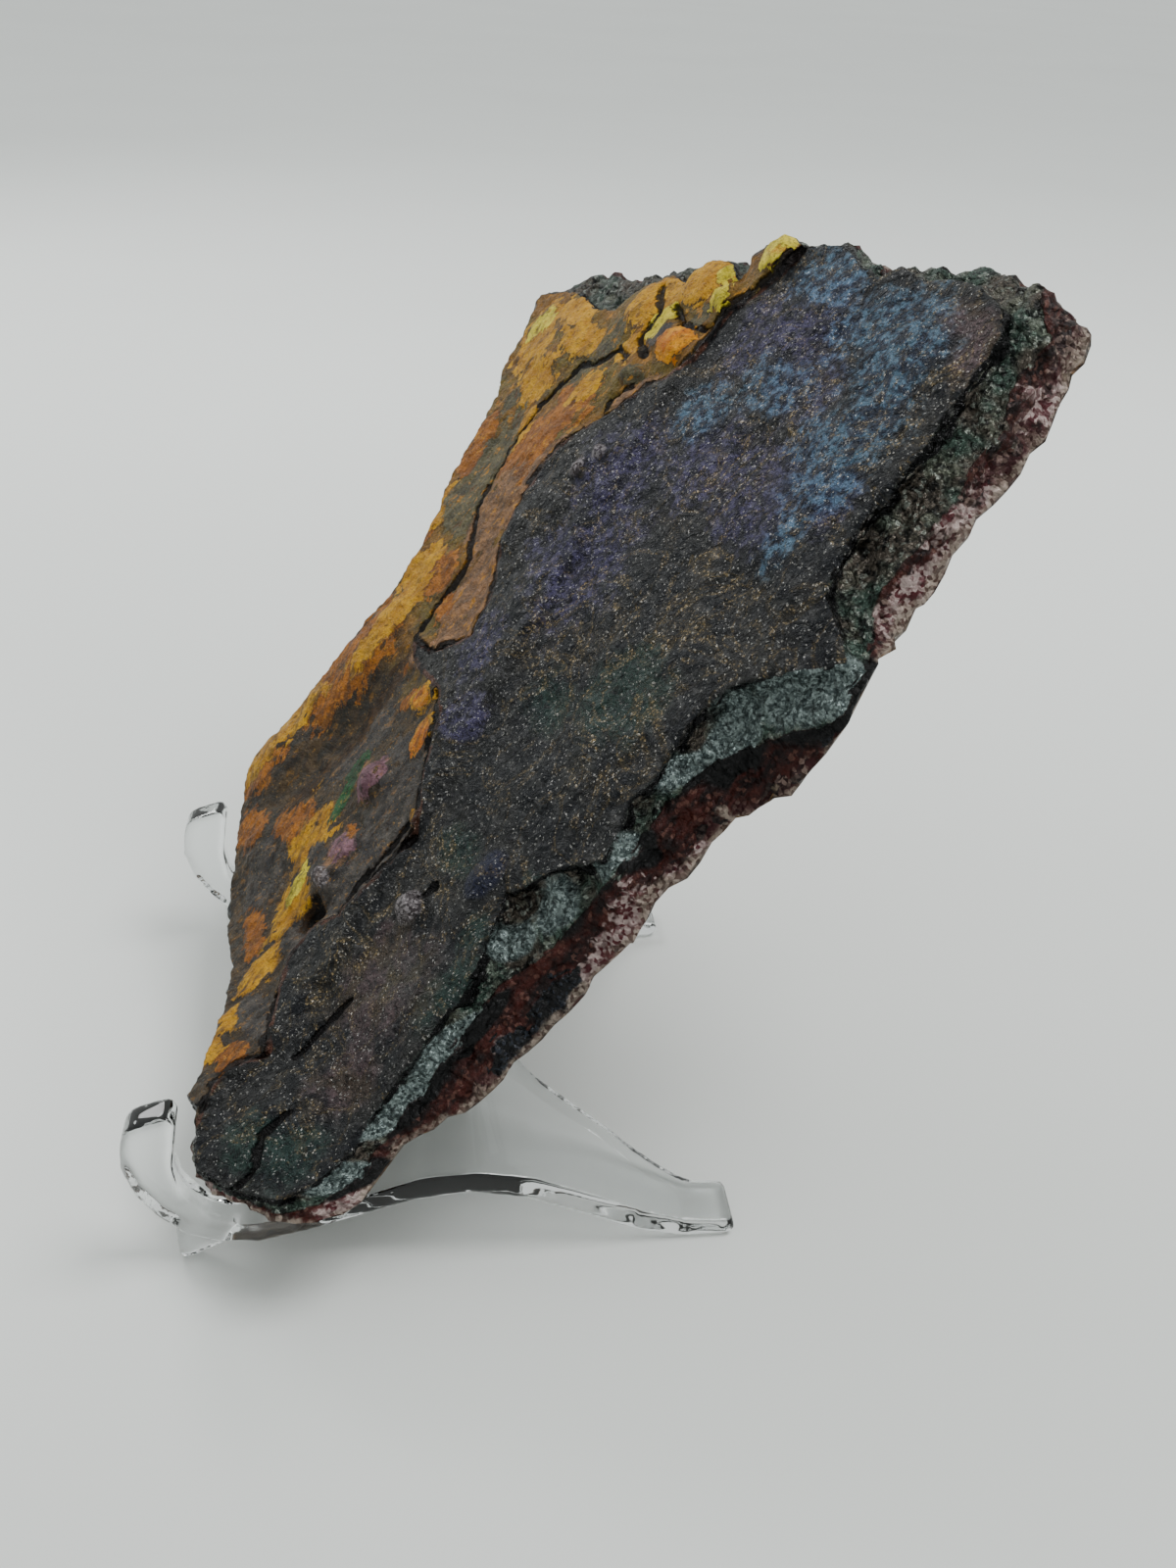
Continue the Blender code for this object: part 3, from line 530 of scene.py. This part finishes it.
def dark_face(g, t):
    """The dark crystalline face and its thin bands of painted sheen, brightest on the swellings as
    painted highlights, with painted shade between them.
    """
    crease = g.ramp(t.domes, 0.36, 0.6)

    def soft(name):
        reach = g.attribute(name) + t.coarse * 1.6 + t.domes * 0.4 + t.ripple * 0.9
        return g.ramp(reach, 0.0, 0.75)

    face = g.blend(t.coarse, -0.12, 0.12, (26, 28, 31), (38, 38, 37))
    # Painted highlights: lighter grey on the ripple tops
    face = g.lay(face, g.ramp(t.ripple, 0.0, 0.18) * 0.7, 62, 62, 62)
    # Painted sheen: the violet tint, lighter on the ripple tops as a painted highlight
    violet = g.blend(t.ripple, -0.1, 0.14, (35, 33, 50), (66, 62, 92))
    face = g.mix(soft("violet") * 0.8, face, violet)
    face = g.lay(face, soft("teal") * 0.6, 32, 56, 50)
    rose = g.mix(crease, colour(92, 74, 76), colour(78, 64, 54))
    face = g.mix(soft("rose") * 0.55, face, rose)
    # Painted sheen: the bluish tint, lighter on the ripple tops as a painted highlight
    blue = g.blend(t.ripple, -0.08, 0.14, (36, 48, 70), (84, 116, 140))
    face = g.mix(soft("blue") * 0.62, face, blue)
    # Painted shade between the ripples
    face = g.lay(face, g.ramp(t.ripple, -0.02, -0.16) * 0.45, 20, 21, 26)
    face = g.lay(face, g.ramp(g.attribute("ink"), 0.0, 0.3) * 0.8, 34, 37, 56)
    face = g.lay(face, g.ramp(t.crystal, 0.4, 0.05) * 0.65, 10, 10, 11)

    # Golden dust in thin veins and in the creases of the bronze patches
    veins = abs(g.noise(g.shifted(t.flat, (70, 1, 5)), 9.0, 3.0, 0.6, 0.8) - 0.5)
    bronze = soft("bronze")
    golden = g.ramp(veins, 0.03, 0.005) * (bronze * 0.4 + 0.3) + crease * bronze * 0.15
    face = g.lay(face, (golden * 0.5).lowest(0.35), 76, 66, 44)
    # Painted glints on the golden dust
    face = g.lay(face, (golden * g.ramp(t.glint, 0.7, 0.9)).lowest(0.45), 158, 136, 96)
    # Painted white glints over the face
    return g.lay(face, g.ramp(t.glint, 0.93, 0.98) * 0.45, 164, 162, 158)


def golden_crust(g, t):
    """The thin golden crust over the far side, flake over flake with painted shadow along each
    edge, streaked at its lower end.
    """
    low = g.ramp(t.up + t.wobble * 30, 2.0, -14.0)
    streak = g.noise(g.scaled(g.turned(t.flat, -35), (1.2, 0.22, 1.0)), 1.5, 4.0, 0.65) - 0.5
    tear = t.wobble + (streak * 1.6 - t.wobble) * low
    crust = g.blend(t.coarse, -0.1, 0.14, (116, 80, 24), (96, 82, 34))
    crust = g.mix(low, crust, g.mix(t.shade, colour(42, 40, 36), colour(76, 62, 44)))
    for name, (dark, light) in FLAKES.items():
        reach = g.attribute(name) + tear * FLAKE_RAGGED + t.chip * 0.4
        # Painted shadow: a thin dark line along each flake's edge
        shadow_rimmed = g.lay(crust, g.ramp(abs(reach - FLAKE_EDGE), 0.07, 0.01) * 0.5, 34, 24, 18)
        flake = g.mix(t.shade, colour(*dark), colour(*light))
        crust = g.mix(g.ramp(reach, FLAKE_EDGE + 0.02, FLAKE_EDGE + 0.07), shadow_rimmed, flake)
    # Painted shade: the pit is darkened to near black
    crust = g.lay(crust, g.ramp(g.attribute("pit") + tear * 0.6, 0.1, 0.3), 12, 9, 9)
    crust = g.lay(crust, g.ramp(streak, 0.02, 0.1) * low * 0.55, 44, 44, 40)
    flecks = g.noise(g.shifted(t.streaked, (8, 60, 2)), 1.2, 4.0, 0.65)
    crust = g.lay(crust, g.ramp(flecks, 0.58, 0.64) * (0.7 - low * 0.5), 176, 120, 26)
    dark_fleck = g.mix(low, colour(88, 56, 28), colour(46, 36, 30))
    crust = g.mix(g.ramp(flecks, 0.4, 0.34) * 0.7, crust, dark_fleck)
    crust = g.lay(crust, g.ramp(t.fine, 0.5, 0.7) * 0.6, 48, 34, 22)
    crust = g.lay(crust, g.ramp(t.fine, 0.4, 0.28) * 0.4, 210, 160, 70)
    return g.lay(crust, g.ramp(abs(t.chip + 0.24), 0.05, 0.02) * 0.4, 30, 24, 20)


def shelf_band(g, t, silvery):
    """The dusky shelf under the face's rim, silvery in the bays."""
    dusky = g.blend(t.coarse, -0.08, 0.08, (74, 68, 61), (58, 73, 65))
    dusky = g.lay(dusky, g.ramp(t.boulders, 0.7, 0.95) * 0.6, 96, 100, 88)
    dusky = g.lay(dusky, g.ramp(t.ripple, -0.02, -0.14) * 0.9, 9, 10, 10)
    dusky = g.lay(dusky, g.ramp(t.grains, 0.8, 0.98) * 0.7, 128, 134, 126)
    dusky = g.lay(dusky, g.ramp(t.crystal, 0.4, 0.1) * 0.7, 10, 11, 12)
    silver = g.blend(t.crystal, 0.1, 0.95, (62, 72, 72), (124, 136, 134))
    silver = g.lay(silver, g.ramp(t.ripple, -0.04, -0.14) * 0.6, 22, 26, 26)
    return g.mix(silvery, dusky, silver)


def broken_layers(g, t, jet, high):
    """Red-brown ore over a granular matrix with pale crystals, and a tan brink at the back."""
    ore = g.mix(t.shade, colour(18, 5, 5), colour(62, 22, 16))
    ore = g.lay(ore, g.ramp(t.grains, 0.82, 0.97) * 0.45, 112, 76, 66)
    matrix = g.blend(t.grains, 0.3, 1.0, (38, 19, 19), (122, 102, 94))
    matrix = g.lay(matrix, g.ramp(t.boulders, 0.35, 0.75) * 0.7, 58, 20, 24)
    matrix = g.lay(matrix, g.ramp(t.boulders, 0.2, 0.1) * 0.8, 18, 13, 14)
    tan = g.mix(t.shade, colour(70, 58, 48), colour(118, 104, 90))
    depth = g.attribute("depth") + t.wobble * 7.0 + t.coarse * 9.0 + t.chip * 2.0
    broken = g.mix(g.ramp(depth + high * 2.5, 7.2, 8.4), ore, matrix)
    broken = g.mix(g.ramp(depth, 9.6, 10.6), broken, tan)
    pale = g.ramp(g.attribute("white") + t.ripple * 2.0 + t.chip * 0.5, 0.0, 0.3)
    white = g.blend(t.grains * 0.8 + t.ripple * 1.5, 0.1, 0.75, (76, 28, 34), (176, 158, 154))
    broken = g.mix(pale * 0.8, broken, white)
    broken = g.mix(jet, broken, g.blend(t.crystal, 0.6, 1.0, (9, 9, 11), (36, 40, 48)))
    brink = g.ramp(abs(g.attribute("back") + t.wobble * 2.0 + 0.2), 1.0, 0.5)
    grit = g.blend(t.grains, 0.1, 0.8, (78, 60, 52), (152, 138, 126))
    return g.mix(brink * 0.8, broken, grit)


def rough_back(g, t):
    """The rough back: stained rock with pale grains and dark pits."""
    stains = g.noise(g.shifted(t.flat, (2, 90, 31)), 17.0, 4.0, 0.6, 0.5) - 0.5 + t.wobble * 0.3
    rock = g.blend(t.coarse, -0.12, 0.12, (58, 44, 39), (96, 82, 72))
    rock = g.lay(rock, g.ramp(stains, 0.03, 0.09) * 0.8, 126, 90, 46)
    rock = g.lay(rock, g.ramp(stains, -0.04, -0.1) * 0.8, 62, 28, 24)
    rock = g.lay(rock, g.ramp(t.boulders, 0.72, 0.9) * 0.6, 122, 112, 102)
    rock = g.lay(rock, g.ramp(t.boulders, 0.25, 0.12) * 0.7, 26, 20, 19)
    rock = g.lay(rock, g.ramp(t.grains, 0.75, 0.95) * 0.6, 146, 132, 118)
    return g.lay(rock, g.ramp(t.fine, 0.6, 0.75) * 0.7, 34, 22, 19)


def turgite():
    """The slab's surface: every zone's colour, sheen and relief."""
    g = Graph("turgite", Specular_IOR_Level=0.25)
    t = textures(g)

    # The face and the crust over it, parted by the crust's lip, whose reddish brown is partly
    # darkened to a painted shadow, with cracks darkened by painted shade, and knobs
    ledge = g.attribute("ledge") + t.wobble * 0.9 + t.chip * 0.5
    on_crust = g.ramp(ledge, -0.08, 0.08)
    surface = g.mix(on_crust, dark_face(g, t), golden_crust(g, t))
    # Painted shadow: the lip's reddish brown mixed with near black
    lip = g.ramp(abs(ledge + 0.45), 0.5, 0.25)
    surface = g.mix(lip * 0.7, surface, g.mix(t.shade, colour(22, 16, 16), colour(84, 50, 36)))
    # Painted shade: near black along the cracks, and painted shadow along the flake edges among
    # them
    crack = g.ramp(g.attribute("crack") + t.wobble * 1.2 + t.chip * 0.5, 0.75, 0.4)
    surface = g.lay(surface, crack * 0.95, 8, 6, 7)
    knob = g.ramp(g.attribute("knob") + t.wobble * 0.3, 0.05, 0.35)
    metal = g.blend(t.crystal, 0.3, 0.95, (62, 56, 58), (134, 128, 130))
    surface = g.mix(knob * 0.8, surface, metal)

    # The broken edge: a black step, the shelf and the layers under it
    rim = g.attribute("rim") + t.wobble * 0.7 + t.chip * 0.35
    step = g.ramp(rim, 0.1, -0.05)
    shelf = g.attribute("shelf") + t.wobble * 0.9 + t.chip * 0.4
    inside_shelf = g.ramp(shelf, -0.1, 0.1)
    silver = g.attribute("silver") + t.wobble * 0.7
    silvery = g.ramp(silver, 0.0, 0.25)
    jet = g.ramp(g.attribute("jet") + t.wobble * 0.8 + t.chip * 0.4, 0.05, 0.15)
    high = g.ramp(t.up, 20.0, 40.0)
    edge = g.mix(inside_shelf, broken_layers(g, t, jet, high), shelf_band(g, t, silvery))

    # The step's black wall ends early over silver and at the top, and starts again under silver
    depth = g.attribute("depth")
    bare = silvery * g.ramp(depth + t.wobble * 2.0, 0.2, 0.7)
    bare = bare.highest(high * g.ramp(depth + t.wobble * 2.5, 1.6, 2.4))
    black = g.ramp(rim + t.coarse * 1.6, -0.5, -0.35) * step * (1 - bare)
    foot = g.ramp(silver, -0.35, -0.1) * g.ramp(shelf, 0.1, -0.1)
    foot = foot * g.ramp(depth + t.wobble * 3.0, 6.7, 6.1)
    edge = g.lay(edge, black.highest(foot), 6, 6, 7)
    surface = g.mix(step, surface, edge)

    rear = g.ramp(g.attribute("facing") + t.wobble * 0.4, -0.15, -0.45)
    g.set("Base Color", g.mix(rear, surface, rough_back(g, t)))

    # Sheen: metallic crystals on the face and the shelf, a glassy step, dull crust and matrix
    dull = on_crust.highest(step - step * inside_shelf).highest(rear)
    g.set("Metallic", 0.6 - dull * 0.35)
    shiny = black.highest(step * jet)
    roughness = 0.48 + (dull - step) * 0.1 - g.ramp(t.glint, 0.7, 1.0) * 0.22
    g.set("Roughness", roughness - shiny * 0.25)

    # Relief, from the coarsest to the finest
    wrinkles = abs(g.noise(g.shifted(t.flat, (12, 4, 6)), 1.6, 3.0, 0.6, 0.8) - 0.5) * 2
    leathery = (1 - dull) * (wrinkles * 0.8 - t.domes * 0.9)
    scaly = dull * (t.chip + g.noise(g.shifted(t.flat, (3, 44, 9)), 1.3, 4.0, 0.7))
    scaly = scaly + step * (t.boulders - t.pebbles) * 0.9
    normal = g.bump(leathery * 1.2 + scaly - crack, RIPPLE_BUMP)
    g.set("Normal", g.bump(t.crystal + t.fine * 0.7, CRYSTAL_BUMP, 0.9, normal))
    return g.material


def clear_plastic():
    """The easel's clear moulding, with faint scuffs."""
    g = Graph("clear_plastic", Transmission_Weight=1.0, IOR=PLASTIC_IOR)
    g.set("Base Color", colour(247, 249, 249))
    place = g.object_place()
    scuffs = g.noise(place, 4 * MM, 5.0, 0.7)
    g.set("Roughness", g.ramp(scuffs, 0.62, 0.85) * 0.12 + 0.02)
    g.set("Normal", g.bump(g.noise(place, 12 * MM, 2.0), SCUFF_BUMP, 0.25))
    return g.material


def new_object(name, data):
    """Put a mesh, a camera or a light into the scene as an object of its own."""
    made = bpy.data.objects.new(name, data)
    bpy.context.scene.collection.objects.link(made)
    return made


def slab_frame():
    """The matrix from the slab's flat frame, in millimetres, to the world."""
    turn = Matrix.Rotation(radians(SLAB_TURN), 4, "Z") @ Matrix.Rotation(radians(SLAB_LEAN), 4, "X")
    return Matrix.Translation(SLAB_PLACE * MM) @ turn @ Matrix.Scale(MM, 4)


def finer_slab(node):
    """A merged copy of the CAD slab in its flat frame, cut finer on the face and the edge."""
    shape = bmesh.new()
    shape.from_mesh(node.data)
    shape.transform(node.matrix_world)
    shape.transform(slab_frame().inverted())
    bmesh.ops.remove_doubles(shape, verts=shape.verts, dist=MERGE_DISTANCE)
    bmesh.ops.recalc_face_normals(shape, faces=shape.faces)
    front = [
        edge for edge in shape.edges
        if all(face.normal.z > LEAST_FACING for face in edge.link_faces)
    ]
    bmesh.ops.subdivide_edges(shape, edges=front, cuts=CUTS, use_grid_fill=True)
    bmesh.ops.triangulate(shape, faces=shape.faces)
    bmesh.ops.smooth_vert(
        shape, verts=shape.verts, factor=0.5, use_axis_x=True, use_axis_y=True, use_axis_z=True)
    shape.normal_update()
    return shape


def slab_fields(flat, height, facing):
    """What the markings follow at each point: distances inside the outlines, depth and patches."""
    fields = {
        "rim": loop_distance(flat, RIM),
        "shelf": loop_distance(flat, SHELF),
        "back": loop_distance(flat, BACK),
        "ledge": loop_distance(flat, LEDGE),
        "crack": line_distance(flat, CRACKS),
        "depth": -height,
        "facing": facing,
    }
    for name, patches in {**PAINTS, **EDGE_PAINTS}.items():
        fields[name] = patch_mask(flat, patches)
    return fields


def fine_relief(spots, fields):
    """Millimetres to move each point out: rippled druse, scaly crust, cracks and rough breaks."""
    edge = ramp(fields["rim"], 0.2, -0.6)
    rear = ramp(fields["facing"], -0.2, -0.6) * (1 - edge)
    crust = ramp(fields["ledge"], -0.2, 0.6) * (1 - edge) * (1 - rear)
    face = (1 - edge) * (1 - crust) * (1 - rear)
    spots = [Vector(spot) for spot in spots]
    ripple = np.array([noise.turbulence(spot / 2.6, 2, True) for spot in spots])
    swell = np.array([noise.fractal(spot / 7.0, 0.9, 2.0, 2) for spot in spots])
    rough = np.array([noise.fractal(spot / 1.5, 0.7, 2.1, 3) for spot in spots])
    chunks = np.array([0.5 - noise.voronoi(spot / 2.3)[0][0] for spot in spots])
    lumpy = np.array([noise.fractal(spot / 4.0, 0.8, 2.0, 2) for spot in spots])
    relief = face * (FACE_RIPPLES * ripple + FACE_GRAIN * rough + FACE_SWELL * swell)
    flakes = sum(ramp(fields[name], 0.05, 0.3) for name in RAISED_FLAKES)
    relief += crust * (CRUST_GRAIN * rough + FLAKE_RISE * flakes)
    relief += edge * (EDGE_GRAIN * rough + EDGE_CHUNKS * chunks + EDGE_LUMPS * lumpy)
    relief += rear * (BACK_GRAIN * rough + BACK_CHUNKS * chunks + BACK_LUMPS * lumpy)
    knobs = KNOB_RISE * ramp(fields["knob"], 0.0, 0.8)
    relief += knobs + PINK_RISE * ramp(fields["pink"], 0.0, 0.7)
    relief += INK_RISE * ramp(fields["ink"], 0.0, 0.8)
    crack = CRACK_DEPTH * ramp(fields["crack"], 0.8, 0.1)
    return relief - (1 - edge) * (crack + PIT_DEPTH * ramp(fields["pit"], 0.0, 0.5))


def detailed_slab(node):
    """The finer slab with small relief, and its markings as attributes."""
    shape = finer_slab(node)
    spots = np.array([vert.co for vert in shape.verts])
    facing = np.array([vert.normal.z for vert in shape.verts])
    flat = spots[:, :2]
    height = spots[:, 2] - curl(flat)
    fields = slab_fields(flat, height, facing)
    for vert, shift in zip(shape.verts, fine_relief(spots, fields)):
        vert.co += vert.normal * shift
    shape.transform(slab_frame())

    mesh = bpy.data.meshes.new("turgite")
    shape.to_mesh(mesh)
    shape.free()
    places = np.column_stack([flat, height]).astype(np.float32)
    mesh.attributes.new("flat", "FLOAT_VECTOR", "POINT").data.foreach_set("vector", places.ravel())
    for name, field in fields.items():
        attribute = mesh.attributes.new(name, "FLOAT", "POINT")
        attribute.data.foreach_set("value", field.astype(np.float32))
    mesh.shade_smooth()
    mesh.materials.append(turgite())
    piece = new_object("turgite", mesh)
    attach(piece, "root")
    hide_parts("turgite_slab")


def soft_easel(node):
    """The CAD easel with an even skin and softened edges, as a moulding has them."""
    mesh = node.data.copy()
    mesh.transform(node.matrix_world)
    mesh.materials.clear()
    mesh.materials.append(clear_plastic())
    piece = new_object("clear_easel", mesh)
    skin = piece.modifiers.new("skin", "REMESH")
    skin.mode = "VOXEL"
    skin.voxel_size = EASEL_SKIN * MM
    skin.use_smooth_shade = True
    soften = piece.modifiers.new("soften", "SMOOTH")
    soften.factor = 0.5
    soften.iterations = EASEL_SOFTENING
    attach(piece, "root")
    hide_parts("easel")


def camera():
    """The photograph's camera."""
    data = bpy.data.cameras.new("camera")
    data.sensor_fit = "VERTICAL"
    data.sensor_height = CAMERA_SENSOR
    data.lens = CAMERA_LENS
    data.clip_start = CAMERA_NEAREST
    eye = new_object("camera", data)
    turn = Matrix.Rotation(radians(CAMERA_HEADING), 4, "Z")
    dip = Matrix.Rotation(radians(90 - CAMERA_DIP), 4, "X")
    roll = Matrix.Rotation(radians(CAMERA_ROLL), 4, "Z")
    eye.matrix_world = Matrix.Translation(CAMERA_PLACE * MM) @ turn @ dip @ roll
    bpy.context.scene.camera = eye


def pale_floor():
    """A plain floor, turned paler away from the camera by painted light."""
    g = Graph("floor", Roughness=0.35, Specular_IOR_Level=0.3)
    place = g.object_place()
    # Painted light: the floor grows paler away from the camera
    tone = g.blend(g.along(place, 0), *FLOOR_PAINTED_LIGHT, (212, 215, 212), (248, 251, 249))
    g.set("Base Color", g.lay(tone, g.noise(place, 0.2) * 0.5, 228, 231, 228))
    shape = bmesh.new()
    drop = Matrix.Translation((0, 0, -FLOOR_DROP * MM))
    bmesh.ops.create_grid(shape, x_segments=1, y_segments=1, size=FLOOR_SIZE, matrix=drop)
    mesh = bpy.data.meshes.new("floor")
    shape.to_mesh(mesh)
    shape.free()
    mesh.materials.append(g.material)
    floor = new_object("floor", mesh)


def studio():
    """A pale floor, an even pale sky and soft square lights."""
    pale_floor()
    world = bpy.data.worlds.new("sky")
    world.use_nodes = True
    sky = world.node_tree.nodes["Background"]
    sky.inputs["Color"].default_value = colour(226, 230, 228)
    sky.inputs["Strength"].default_value = SKY_STRENGTH
    bpy.context.scene.world = world
    for name, place, target, size, power in LIGHTS:
        data = bpy.data.lights.new(name, "AREA")
        data.size = size
        data.energy = power
        lamp = new_object(name, data)
        aim = (Vector(target) - Vector(place)).to_track_quat("-Z", "Y")
        lamp.matrix_world = Matrix.Translation(place) @ aim.to_matrix().to_4x4()


def main():
    camera()
    studio()
    detailed_slab(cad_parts["turgite_slab"])
    soft_easel(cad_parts["easel"])


main()
